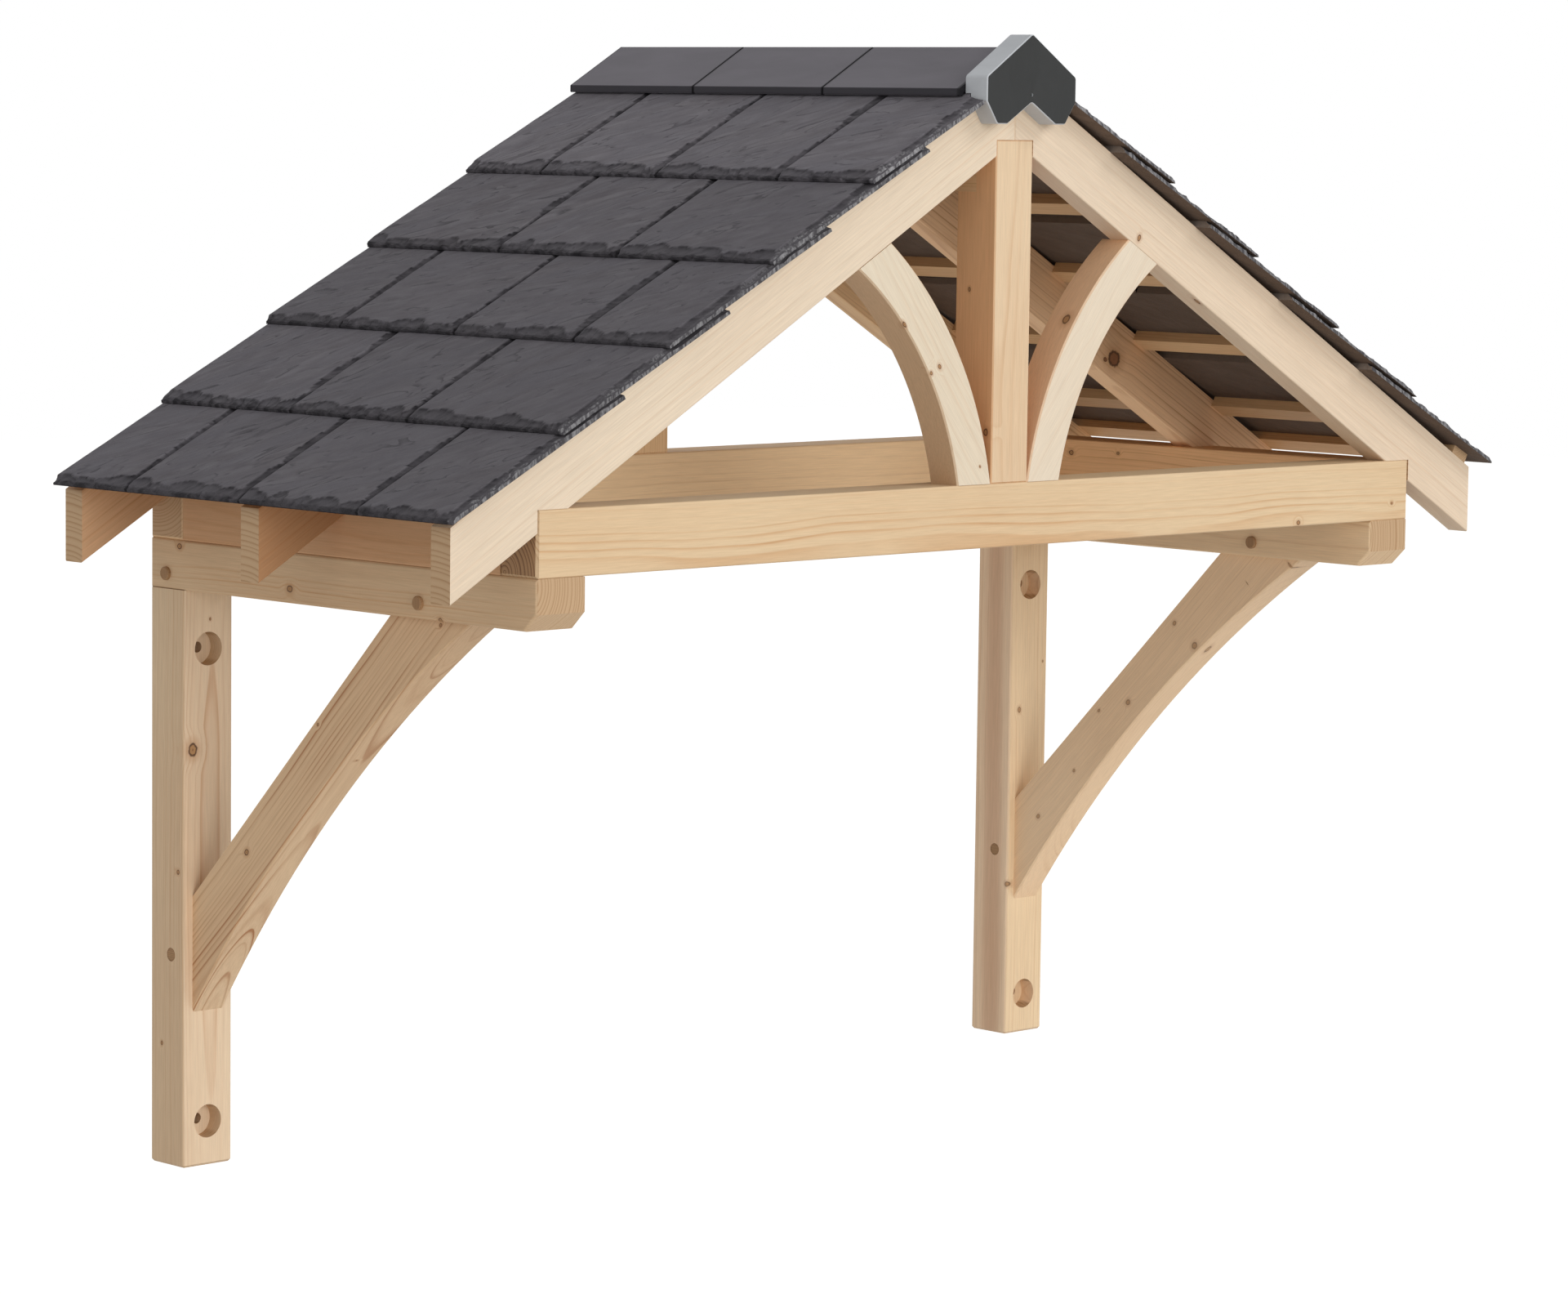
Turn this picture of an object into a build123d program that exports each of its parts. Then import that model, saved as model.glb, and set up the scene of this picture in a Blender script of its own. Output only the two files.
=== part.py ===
"""Timber porch canopy on two gallows brackets, with a lapped slate roof.

Millimetres. X runs along the wall, Y out of the wall (the wall is Y = 0 and
the canopy stands on the -Y side), Z is up. The origin is the middle of the
rear tie beam's wall face. The canopy is the same on both sides of X = 0.
"""

import os
from math import asin, cos, degrees, radians, sin, sqrt, tan

from build123d import *

os.makedirs("parts", exist_ok=True)

# Overall
SPAN = 2040.0           # over the tie beam ends and the brackets' outer faces
PROJECTION = 949.0      # wall to the front faces of tie beam, arms and rafters
PITCH = 30.0            # roof slope, degrees

# Tie beams and eaves plates, one section all round
TIE_W = 85.0
TIE_H = 104.0

# Gallows brackets
POST_W = 99.0           # across the wall, and the arm's width too
POST_D = 88.0           # out of the wall
POST_L = 947.0          # below the arm
ARM_H = 81.0
ARM_NOSE = 27.0         # the bevel under the arm's front end, up its face
ARM_NOSE_BACK = 28.0    # and back along its underside
BRACE_T = 63.0          # curved stock, used for the arch braces as well
BRACE_INNER = 500.0     # straight edge, from the post and arm's corner
BRACE_OUTER = 690.0     # curved edge, from the same corner
BRACE_RISE = 47.0       # how far the curved edge bows in from its chord
EASE = 5.0              # rounded arris of posts and arms
END_BEVEL = 4.0         # bevel round the ends of posts, arms and ties
TIE_EASE = 3.0

# Wall fixings through each post
BOLT_D = 18.0
COUNTERBORE_D = 55.0
COUNTERBORE_DEEP = 30.0
BOLT_TOP = 97.0         # upper hole, below the top of the post
BOLT_FOOT = 73.0        # lower hole, above the foot of the post

# Draw-bored pegs
PEG_D = 22.0
PEG_PROUD = 6.0
PEG_WALL = 42.0         # peg through the arm over the post, from the wall
PEG_FRONT = 676.0       # peg through the arm over the brace, from the wall
PEG_DROP = 56.0         # below the arm's top
PEG_POST_OUT = 54.0     # peg through the post, from the wall
PEG_POST_UP = 92.0      # above the brace's lower tip

# Rafters, king posts and ridge beam
RAFTER_T = 44.0
RAFTER_D = 100.0        # square to the slope
RAFTER_SEAT = 63.0      # level seat of the birdsmouth on the tie beam
RAFTER_OUT = 170.0      # eaves, past the tie beam ends
RAFTER_EASE = 2.5
KING_W = 85.0
KING_EASE = 2.0         # bevel round a king post's face, and where rafters meet
RIDGE_BEAM_H = 84.0
RIDGE_COVER = 113.0     # rafter left over the ridge beam at the apex

# Curved arch braces of the front truss
ARCH_R = 630.0          # edge beside the king post
ARCH_W = 76.0
ARCH_DROP = 107.0       # centre of the curve, below the tie beam's top

# Slate roof
SLATE_L = 382.0
SLATE_W = 285.0         # spacing across the roof
SLATE_T = 12.0
SLATE_GAP = 3.0
SLATE_HEAD = 10.0       # clear of the apex
SLATE_BEVEL = 5.0       # dressed upper edge of the tail
GAUGE = 248.5           # from one course to the next, up the slope
TOP_COVER = 90.0        # least of the top slate left below the ridge tile
SLATE_OUT = 17.0        # past the rafter feet, down the slope
VERGE_OUT = 33.0        # past the front rafters
FIRST_SLATE = 195.0     # width at the wall in odd courses
BATTEN_W = 38.0
BATTEN_T = 19.0
BATTEN_GAP = 50.0       # batten to the head of the slate below it
FILLET_W = 40.0         # tilting fillet across the rafters
FILLET_BACK = 15.0      # back from the rafter feet

# Ridge tiles and end cap
RIDGE_TILES = 3
RIDGE_HALF = 118.0      # half the width of a ridge tile
RIDGE_T = 11.0
RIDGE_LIP = 12.0        # height of the rolled lower edge
RIDGE_LIP_W = 9.0
RIDGE_GAP = 3.0
CAP_HALF = 104.0
CAP_WALL = 3.0
CAP_CLEAR = 2.0         # cap to slates, and twice its gap to the ridge tiles
CAP_PROUD = 3.0         # cap's front, past the verge
CAP_HOOD = 12.0         # hood's reach back over the rafters' faces
CAP_RISE = 21.0         # cap's apex over the ridge tiles
CAP_SHOULDER = 9.0      # shoulder, below the roof's slope from the cap's apex
CAP_SIDE = 40.0         # upright edge, below the shoulder
CAP_LEG = 36.0          # slanted side of each leg, below the upright edge
CAP_NOTCH = 35.0        # height of the notch between the two legs
CAP_LEG_OUT = 79.5      # from the middle to the leg's outer and inner corners
CAP_LEG_IN = 56.0
CAP_ROUND = 7.0
CAP_HOLE = 5.0
CAP_HOLE_UP = 12.0      # nail hole, above the notch

# Levels and lines that the pieces share
half = SPAN / 2
tie_top = TIE_H / 2
arm_top = -TIE_H / 2
arm_under = arm_top - ARM_H
foot = arm_under - POST_L
slope = tan(radians(PITCH))
heel = half - RAFTER_SEAT
eaves = half + RAFTER_OUT
apex = tie_top + heel * slope + RAFTER_D / cos(radians(PITCH))
beam_top = apex - RIDGE_COVER
beam_under = beam_top - RIDGE_BEAM_H
tilt = degrees(asin(SLATE_T / GAUGE))   # each slate lies on the one below


def save(name, *solids):
    """One node: a single solid, or a few like ones that don't touch."""
    shape = solids[0] if len(solids) == 1 else Compound(children=list(solids))
    shape.label = name
    export_step(shape, f"parts/{name}.step")


def pair(name, *solids):
    """The right-hand piece and its mirror image on the left."""
    save(f"right_{name}", *solids)
    save(f"left_{name}", *[mirror(s, about=Plane.YZ) for s in solids])


def block(x0, x1, y0, y1, z0, z1):
    """A squared timber from its three pairs of faces."""
    return Pos((x0 + x1) / 2, (y0 + y1) / 2, (z0 + z1) / 2) * Box(
        abs(x1 - x0), abs(y1 - y0), abs(z1 - z0))


def slab(points, y0, y1):
    """An outline seen from the front, in X and Z, as thick as y0 to y1."""
    face = make_face(Polyline(*points, close=True).moved(Location()))
    return Pos(0, y0, 0) * extrude(Plane.XZ * face, y0 - y1)


def along(solid, axis, tolerance=0.1):
    """The long edges of a timber."""
    return solid.edges().filter_by(axis, tolerance=tolerance)


def bore_x(x0, x1, y, z, d):
    return Pos((x0 + x1) / 2, y, z) * Rot(0, 90, 0) * Cylinder(d / 2, abs(x1 - x0))


def bore_y(y0, y1, x, z, d):
    return Pos(x, (y0 + y1) / 2, z) * Rot(90, 0, 0) * Cylinder(d / 2, abs(y1 - y0))


# ---------------------------------------------------------------- brackets
# Post against the wall, its two bolt holes sunk for nut and washer.
post_in = half - POST_W
post_mid = half - POST_W / 2
peg_ends = (post_in - PEG_PROUD, half + PEG_PROUD)
brace_tip = arm_under - BRACE_OUTER
peg_post_z = brace_tip + PEG_POST_UP

post = block(post_in, half, 0, -POST_D, foot, arm_under)
post = fillet(along(post, Axis.Z), EASE)
post = chamfer(post.faces().sort_by(Axis.Z)[0].edges(), END_BEVEL)
for z in (arm_under - BOLT_TOP, foot + BOLT_FOOT):
    post -= bore_y(1, -POST_D - 1, post_mid, z, BOLT_D)
    post -= bore_y(COUNTERBORE_DEEP - POST_D, -POST_D - 1, post_mid, z, COUNTERBORE_D)
post -= bore_x(post_in - 1, half + 1, -PEG_POST_OUT, peg_post_z, PEG_D)
pair("wall_post", post)

# Arm over the post, with a wide bevel under its front end.
arm = block(post_in, half, 0, -PROJECTION, arm_under, arm_top)
nose = arm.edges().filter_by(Axis.X).group_by(Axis.Z)[0].sort_by(Axis.Y)[0]
arm = chamfer(nose, ARM_NOSE, ARM_NOSE_BACK,
              reference=arm.faces().sort_by(Axis.Y)[0])
arm = fillet([e for e in arm.edges().filter_by(Axis.X, reverse=True)], EASE)
for y in (PEG_WALL, PEG_FRONT):
    arm -= bore_x(post_in - 1, half + 1, -y, arm_top - PEG_DROP, PEG_D)
pair("arm", arm)

# Curved brace: straight on top, bowed underneath, in the middle of the post.
corner = (-POST_D, arm_under)
with BuildPart() as brace:
    with BuildSketch(Plane.YZ.offset(post_mid - BRACE_T / 2)):
        with BuildLine():
            low_in = (corner[0], corner[1] - BRACE_INNER)
            low_out = (corner[0], corner[1] - BRACE_OUTER)
            up_in = (corner[0] - BRACE_INNER, corner[1])
            up_out = (corner[0] - BRACE_OUTER, corner[1])
            Line(low_in, low_out)
            SagittaArc(low_out, up_out, -BRACE_RISE)
            Line(up_out, up_in)
            Line(up_in, low_in)
        make_face()
    extrude(amount=BRACE_T)
    chamfer(brace.edges().filter_by(GeomType.CIRCLE), RAFTER_EASE)
pair("brace", brace.part)

pegs = [bore_x(*peg_ends, -y, arm_top - PEG_DROP, PEG_D)
        for y in (PEG_WALL, PEG_FRONT)]
pegs.append(bore_x(post_in, half, -PEG_POST_OUT, peg_post_z, PEG_D))
pegs = [chamfer(p.edges().filter_by(GeomType.CIRCLE), 1.5) for p in pegs]
pair("bracket_pegs", *pegs)

# ------------------------------------------------------- ties and eaves plates
def eased(tie):
    ends = tie.faces().sort_by(Axis.X)
    tie = chamfer(ends[0].edges() + ends[-1].edges(), END_BEVEL)
    return fillet(along(tie, Axis.X), TIE_EASE)


front_tie = block(-half, half, TIE_W - PROJECTION, -PROJECTION, arm_top, tie_top)
save("front_tie_beam", eased(front_tie))
rear_tie = block(-half, half, 0, -TIE_W, arm_top, tie_top)
save("rear_tie_beam", eased(rear_tie))

plate = block(half - TIE_W, half, -TIE_W, TIE_W - PROJECTION, arm_top, tie_top)
pair("eaves_plate", fillet(along(plate, Axis.Y), TIE_EASE))

# ------------------------------------------------ king posts and ridge beam
# Each king post is lapped: one half runs up flush with the rafters, the other
# stops under the ridge beam.
def king(y_face, y_lap, y_back):
    tall = block(-KING_W / 2, KING_W / 2, y_face, y_lap, tie_top, beam_top)
    short = block(-KING_W / 2, KING_W / 2, y_lap, y_back, tie_top, beam_under)
    post = tall + short
    return chamfer(post.faces().sort_by(Axis.Y)[0].edges(), KING_EASE)


front_y = -PROJECTION
save("front_king_post", king(front_y, front_y + RAFTER_T, front_y + TIE_W))
save("rear_king_post", king(0, -RAFTER_T, -TIE_W))
save("ridge_beam", block(-KING_W / 2, KING_W / 2, -RAFTER_T, front_y + RAFTER_T,
                         beam_under, beam_top))


# ----------------------------------------------------------------- rafters
# Plumb-cut foot, birdsmouth over the tie beam, notch over the ridge beam.
def rafter_top(x):
    return apex - x * slope


def rafter_under(x):
    return rafter_top(x) - RAFTER_D / cos(radians(PITCH))


rafter_outline = [
    (0, beam_top), (0, apex), (eaves, rafter_top(eaves)),
    (eaves, rafter_under(eaves)), (half, rafter_under(half)), (half, tie_top),
    (heel, tie_top), (KING_W / 2, rafter_under(KING_W / 2)),
    (KING_W / 2, beam_top)]
middle_y = (front_y + RAFTER_T) / 2
rafter_lines = {"rear": 0, "middle": middle_y, "front": front_y + RAFTER_T}
for place, y in rafter_lines.items():
    rafter = slab(rafter_outline, y, y - RAFTER_T)
    under = [e for e in rafter.edges().filter_by(GeomType.LINE)
             if abs(e.tangent_at(0.5).Z) > 0.1 and abs(e.tangent_at(0.5).X) > 0.1
             and e.center().Z < rafter_top(e.center().X) - 1]
    rafter = fillet(under, RAFTER_EASE)
    rafter = chamfer([e for e in along(rafter, Axis.Z)
                      if abs(e.center().X) < 0.1], KING_EASE)
    save(f"{place}_right_rafter", rafter)
    save(f"{place}_left_rafter", mirror(rafter, about=Plane.YZ))

# ------------------------------------------------------------- arch braces
# Cut from curved stock: a ring, trimmed by the tie beam, the king post and
# the underside of the rafter.
arch_x = KING_W / 2 + sqrt(ARCH_R ** 2 - ARCH_DROP ** 2)
arch_z = tie_top - ARCH_DROP
with BuildPart() as arch:
    with BuildSketch(Plane.XZ.offset(PROJECTION - BRACE_T)):
        with Locations((arch_x, arch_z)):
            Circle(ARCH_R)
            Circle(ARCH_R - ARCH_W, mode=Mode.SUBTRACT)
        with BuildLine():
            Polyline((KING_W / 2, tie_top), (heel, tie_top),
                     (KING_W / 2, rafter_under(KING_W / 2)), close=True)
        make_face(mode=Mode.INTERSECT)
    extrude(amount=BRACE_T)
    chamfer(arch.edges().filter_by(GeomType.CIRCLE), RAFTER_EASE)
pair("arch_brace", arch.part)


# ------------------------------------------------------------------ slates
def on_slope(s, v):
    """Down the slope from the apex by s, and off the rafters' top by v."""
    a = radians(PITCH)
    return (s * cos(a) + v * sin(a), apex - s * sin(a) + v * cos(a))


def tail(course):
    """Down the slope to a course's tail, counted from the eaves."""
    return eaves / cos(radians(PITCH)) + SLATE_OUT - (course - 1) * GAUGE


def head(course):
    return tail(course) - SLATE_L * cos(radians(tilt))


def slate_under(course, s):
    """Height of a course's underside over the rafters."""
    return (s - head(course)) * tan(radians(tilt))


def slate_outline(course):
    """Side view of one slate, lying on its head and on the slate below. A
    top slate that would pass the apex is cut shorter."""
    t = radians(tilt)
    down, up = (cos(t), sin(t)), (-sin(t), cos(t))
    cut = max(0, SLATE_HEAD - head(course))
    corners = [(cut, 0), (SLATE_L, 0), (SLATE_L, SLATE_T - SLATE_BEVEL),
               (SLATE_L - SLATE_BEVEL, SLATE_T), (cut, SLATE_T)]
    return [on_slope(head(course) + a * down[0] + b * up[0],
                     a * down[1] + b * up[1]) for a, b in corners]


verge = PROJECTION + VERGE_OUT
courses = 1 + int((tail(1) - RIDGE_HALF / cos(radians(PITCH)) - TOP_COVER)
                  // GAUGE)
for course in range(1, courses + 1):
    first = FIRST_SLATE if course % 2 else FIRST_SLATE + SLATE_W / 2
    joints, y = [0.0], first
    while y < verge - SLATE_W / 2:
        joints.append(y)
        y += SLATE_W
    joints.append(verge)
    outline = slate_outline(course)
    last = len(joints) - 2
    slates = [slab(outline, -a - (SLATE_GAP / 2 if i else 0),
                   -b + (SLATE_GAP / 2 if i < last else 0))
              for i, (a, b) in enumerate(zip(joints, joints[1:]))]
    # A verge slate that reaches under the ridge is cut away round the end cap.
    if outline[0][0] < CAP_HALF + CAP_CLEAR:
        slates[-1] -= block(0, CAP_HALF + CAP_CLEAR, -PROJECTION + CAP_CLEAR,
                            -verge - 1, beam_top, apex + SLATE_L)
    pair(f"slates_{course}", *slates)

# Battens let in between the rafters, one bay each, under the slates.
bays = ((-RAFTER_T, middle_y), (middle_y - RAFTER_T, front_y + RAFTER_T))
battens = []
for course in range(0, courses - 1):
    s = head(course) - BATTEN_GAP - BATTEN_W
    v = slate_under(course + 1, s)
    outline = [on_slope(s, v), on_slope(s + BATTEN_W, v),
               on_slope(s + BATTEN_W, v - BATTEN_T), on_slope(s, v - BATTEN_T)]
    battens += [slab(outline, *bay) for bay in bays]
pair("battens", *battens)

# Tilting fillet across the rafters, just behind their feet, under the tails of
# the first course.
s_low = eaves / cos(radians(PITCH)) - FILLET_BACK
s_high = s_low - FILLET_W
pair("tilting_fillet", slab(
    [on_slope(s_high, 0), on_slope(s_low, 0),
     on_slope(s_low, slate_under(1, s_low)),
     on_slope(s_high, slate_under(1, s_high))], 0, front_y))


# ------------------------------------------------------ ridge tiles and cap
def top_slate(x):
    """Height of the top course's upper face at x."""
    t = radians(PITCH - tilt)
    hx, hz = slate_outline(courses)[-1]
    return hz - (x - hx) * tan(t)


lip_in = RIDGE_HALF - RIDGE_LIP_W
lip_z = top_slate(lip_in)
ridge_apex = lip_z + RIDGE_LIP + RIDGE_HALF * slope
ridge_inner = ridge_apex - RIDGE_T / cos(radians(PITCH))
wing = [(RIDGE_HALF, lip_z + RIDGE_LIP), (RIDGE_HALF, lip_z), (lip_in, lip_z),
        (lip_in, ridge_inner - lip_in * slope)]
ridge_outline = ([(0, ridge_apex)] + wing + [(0, ridge_inner)]
                 + [(-x, z) for x, z in reversed(wing)])
tile_pitch = (PROJECTION - CAP_HOOD - CAP_CLEAR / 2) / RIDGE_TILES
tiles = []
for i in range(RIDGE_TILES):
    tile = slab(ridge_outline, -i * tile_pitch,
                -(i + 1) * tile_pitch + (RIDGE_GAP if i < RIDGE_TILES - 1 else 0))
    rims = [e for e in along(tile, Axis.Y)
            if abs(e.center().X) > RIDGE_HALF - 1 or e.center().Z > ridge_apex - 1]
    tiles.append(fillet(rims, 2.5))
save("ridge_tiles", *tiles)

# Moulded cap: a hood that closes the ridge, and below it two shallower legs
# standing on the front of the rafters, with a notch between them.
cap_apex = ridge_apex + CAP_RISE
cap_shoulder = cap_apex - CAP_HALF * slope - CAP_SHOULDER
cap_side = cap_shoulder - CAP_SIDE
cap_foot = cap_side - CAP_LEG
cap_notch = cap_foot + CAP_NOTCH
cap_right = [(CAP_HALF, cap_shoulder), (CAP_HALF, cap_side),
             (CAP_LEG_OUT, cap_foot), (CAP_LEG_IN, cap_foot)]
cap_points = ([(0, cap_apex)] + cap_right + [(0, cap_notch)]
              + [(-x, z) for x, z in reversed(cap_right)])
cap_outer = make_face(Polyline(*cap_points, close=True))
cap_outer = fillet(cap_outer.vertices(), CAP_ROUND)
cap_inner = offset(cap_outer, -CAP_WALL, kind=Kind.ARC)
cap_deep = verge + CAP_PROUD - PROJECTION
hood_y = front_y + CAP_HOOD
cap = Pos(0, hood_y, 0) * extrude(Plane.XZ * cap_outer, cap_deep + CAP_HOOD)
cap = chamfer(cap.faces().sort_by(Axis.Y)[0].edges(), CAP_WALL / 2)
cap -= Pos(0, hood_y + 1, 0) * extrude(Plane.XZ * cap_inner,
                                       cap_deep + CAP_HOOD + 1 - CAP_WALL)
cap -= block(-CAP_HALF - 1, CAP_HALF + 1, hood_y + 1, front_y,
             cap_foot - 1, top_slate(CAP_HALF) + CAP_CLEAR)
cap -= bore_y(front_y - cap_deep - 1, front_y - cap_deep + CAP_WALL + 1, 0,
              cap_notch + CAP_HOLE_UP, CAP_HOLE)
save("ridge_end_cap", cap)
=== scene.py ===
"""A planed softwood porch canopy on two gallows brackets, roofed with moulded
slates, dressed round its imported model."""

import math
from random import Random

import bpy
from mathutils import Matrix, Vector


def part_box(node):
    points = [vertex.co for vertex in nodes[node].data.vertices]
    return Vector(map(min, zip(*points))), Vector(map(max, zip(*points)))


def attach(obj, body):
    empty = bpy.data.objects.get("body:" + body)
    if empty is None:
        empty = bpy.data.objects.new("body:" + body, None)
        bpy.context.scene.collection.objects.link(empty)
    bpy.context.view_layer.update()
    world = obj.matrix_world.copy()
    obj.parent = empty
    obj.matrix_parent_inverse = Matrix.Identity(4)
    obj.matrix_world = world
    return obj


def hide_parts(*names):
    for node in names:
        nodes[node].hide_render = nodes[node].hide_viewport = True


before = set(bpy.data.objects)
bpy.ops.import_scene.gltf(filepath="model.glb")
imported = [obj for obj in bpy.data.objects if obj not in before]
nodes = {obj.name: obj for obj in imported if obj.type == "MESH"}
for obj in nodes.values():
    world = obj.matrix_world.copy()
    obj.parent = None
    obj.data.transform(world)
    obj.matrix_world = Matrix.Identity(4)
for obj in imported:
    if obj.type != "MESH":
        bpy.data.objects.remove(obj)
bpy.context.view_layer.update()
bpy.ops.object.select_all(action="DESELECT")

# ------------------------------------------------------------- wall posts
# Planed redwood, 99 mm wide and 88 mm deep, bolted to the wall either side of
# the door through two counterbored holes each. The heart of the tree runs up
# beside each post, so its faces show long straight grain.


def linear(code):
    """A hex colour as it is written, turned into the light it stands for."""
    parts = [int(code[i:i + 2], 16) / 255 for i in (1, 3, 5)]
    return [c / 12.92 if c <= 0.04045 else ((c + 0.055) / 1.055) ** 2.4
            for c in parts] + [1.0]


def add(tree, kind, sockets=None, **settings):
    """One node, with its settings and with its sockets set or linked."""
    made = tree.nodes.new("ShaderNode" + kind)
    for name, value in settings.items():
        setattr(made, name, value)
    for name, value in (sockets or {}).items():
        if isinstance(value, bpy.types.NodeSocket):
            tree.links.new(value, made.inputs[name])
        else:
            made.inputs[name].default_value = value
    return made


def planed_redwood(name, grain, heart, knots=(), ring=6.0, figure=0.8,
                   pale="#E2CBA9", late="#C08A58", warm=0.0, core=0.0, painted_flank_lighting=None,
                   bold=0.92, plain=None, ends=("#C6A682", "#AE8963"), eye="#AB7F52"):
    """Planed Scots pine: pale sapwood with tan late wood in each year's ring,
    drawn as real rings round the heart of the tree, so that the sides show
    long grain and flames, and the ends show arcs. Faces that don't look along
    Y may take a colour of their own, painted light and shade for how the
    lamps fall on them; the core may be redder, and rings may fade to plain
    sapwood between two radii. Figure is how strongly rings show, and warm how
    strongly the drifts between them do. A knot is its place, the axis that its
    face looks along, its radius and, if given, how far it is drawn out along
    the grain. Bold is how strongly knots show, eye is their colour inside the
    rim, and ends are the two colours of a sawn end. Lengths are millimetres."""
    wood = bpy.data.materials.new(name)
    wood.use_nodes = True
    tree = wood.node_tree
    tree.nodes.clear()
    along = Vector(grain).normalized()
    turn = along.rotation_difference(Vector((0, 0, 1)))
    place = add(tree, "TexCoord").outputs["Object"]
    log = add(tree, "Mapping", {
        "Vector": place, "Rotation": turn.to_euler(),
        "Location": -(turn @ (Vector(heart) / 1000))}).outputs["Vector"]

    # The heart wanders by about a centimetre in a metre.
    stretched = add(tree, "VectorMath", {0: log, 1: (4.0, 4.0, 1.3)},
                    operation="MULTIPLY").outputs["Vector"]
    wander = add(tree, "TexNoise", {"Vector": stretched, "Scale": 1.0, "Detail": 2.5,
                                    "Roughness": 0.45}).outputs["Color"]
    off = add(tree, "VectorMath", {0: wander, 1: (0.5, 0.5, 0.5)},
              operation="SUBTRACT").outputs["Vector"]
    bent = add(tree, "VectorMath", {0: off, 1: (0.030, 0.030, 0.0), 2: log},
               operation="MULTIPLY_ADD").outputs["Vector"]
    across = add(tree, "VectorMath", {0: bent, 1: (1.0, 1.0, 0.0)},
                 operation="MULTIPLY").outputs["Vector"]
    radius = add(tree, "VectorMath", {0: across}, operation="LENGTH").outputs["Value"]

    # Knots: how far the nearest is, in its own radii. Each is a plug that runs
    # in from its face, longer along the grain, with an outline that wobbles
    # every 6 mm, and the rings swell round it.
    rough = add(tree, "TexNoise", {"Vector": place, "Scale": 160.0,
                                   "Detail": 1.0}).outputs["Fac"]
    near = None
    for x, y, z, face, size, *stretch in knots:
        inward = Vector([float(axis == face) for axis in "xyz"])
        inward = (inward - along * inward.dot(along)).normalized()
        lie = Matrix((inward, along.cross(inward), along)).transposed()
        long = stretch[0] if stretch else 1.25
        away = add(tree, "Mapping", {
            "Vector": place, "Location": (x / 1000, y / 1000, z / 1000),
            "Rotation": lie.to_euler(),
            "Scale": (size * 0.003, size * 0.001, size * 0.001 * long)},
            vector_type="TEXTURE").outputs["Vector"]
        away = add(tree, "VectorMath", {0: away}, operation="LENGTH").outputs["Value"]
        near = away if near is None else add(
            tree, "Math", {0: near, 1: away}, operation="MINIMUM").outputs["Value"]
    if near is not None:
        near = add(tree, "Math", {0: rough, 1: 0.4, 2: near},
                   operation="MULTIPLY_ADD").outputs["Value"]
        swell = add(tree, "MapRange", {"Value": near, "From Min": 1.0, "From Max": 4.5,
                                       "To Min": 0.006, "To Max": 0.0},
                    interpolation_type="SMOOTHERSTEP").outputs["Result"]
        radius = add(tree, "Math", {0: radius, 1: swell}, operation="ADD").outputs["Value"]

    # One ring a year, 2 to 8 mm wide, with the dark late wood at its outside.
    years = add(tree, "Math", {0: radius, 1: 1000 / ring},
                operation="MULTIPLY").outputs["Value"]
    uneven = add(tree, "TexNoise", {"W": years, "Scale": 0.31, "Detail": 1.0},
                 noise_dimensions="1D").outputs["Fac"]
    years = add(tree, "Math", {0: uneven, 1: 2.4, 2: years},
                operation="MULTIPLY_ADD").outputs["Value"]
    season = add(tree, "Math", {0: years}, operation="FRACT").outputs["Value"]
    late_part = add(tree, "ValToRGB", {"Fac": season})
    bands = late_part.color_ramp
    bands.elements[0].position, bands.elements[0].color = 0.0, (0.12, 0.12, 0.12, 1)
    bands.elements[1].position, bands.elements[1].color = 1.0, (0.12, 0.12, 0.12, 1)
    for at, value in ((0.3, 0.0), (0.62, 0.22), (0.88, 1.0), (0.94, 0.9)):
        bands.elements.new(at).color = (value, value, value, 1)
    # Late wood is bolder in some years, and in patches about 110 mm across.
    good_year = add(tree, "TexNoise", {"W": years, "Scale": 0.77, "Detail": 0.0},
                    noise_dimensions="1D").outputs["Fac"]
    good_year = add(tree, "MapRange", {"Value": good_year, "From Min": 0.32,
                                       "From Max": 0.68, "To Min": 0.12,
                                       "To Max": 1.0}).outputs["Result"]
    patches = add(tree, "TexNoise", {"Vector": stretched, "Scale": 2.3, "Detail": 1.0}
                  ).outputs["Fac"]
    patches = add(tree, "MapRange", {"Value": patches, "From Min": 0.35, "From Max": 0.65,
                                     "To Min": 0.35, "To Max": 1.0}).outputs["Result"]
    rings = add(tree, "Math", {0: late_part.outputs["Color"], 1: good_year},
                operation="MULTIPLY").outputs["Value"]
    rings = add(tree, "Math", {0: rings, 1: patches}, operation="MULTIPLY").outputs["Value"]
    if plain:
        fade = add(tree, "MapRange", {"Value": radius, "From Min": plain[0] / 1000,
                                      "From Max": plain[1] / 1000, "To Min": 1.0,
                                      "To Max": 0.15}).outputs["Result"]
        rings = add(tree, "Math", {0: rings, 1: fade}, operation="MULTIPLY"
                    ).outputs["Value"]

    # Fibres are a few hundredths of a millimetre. They are drawn 2 mm wide and
    # 60 mm long, the finest that still shows across a whole canopy.
    strands = add(tree, "VectorMath", {0: log, 1: (480.0, 480.0, 16.0)},
                  operation="MULTIPLY").outputs["Vector"]
    fibre = add(tree, "TexNoise", {"Vector": strands, "Scale": 1.0, "Detail": 3.0,
                                   "Roughness": 0.6}).outputs["Fac"]
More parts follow.
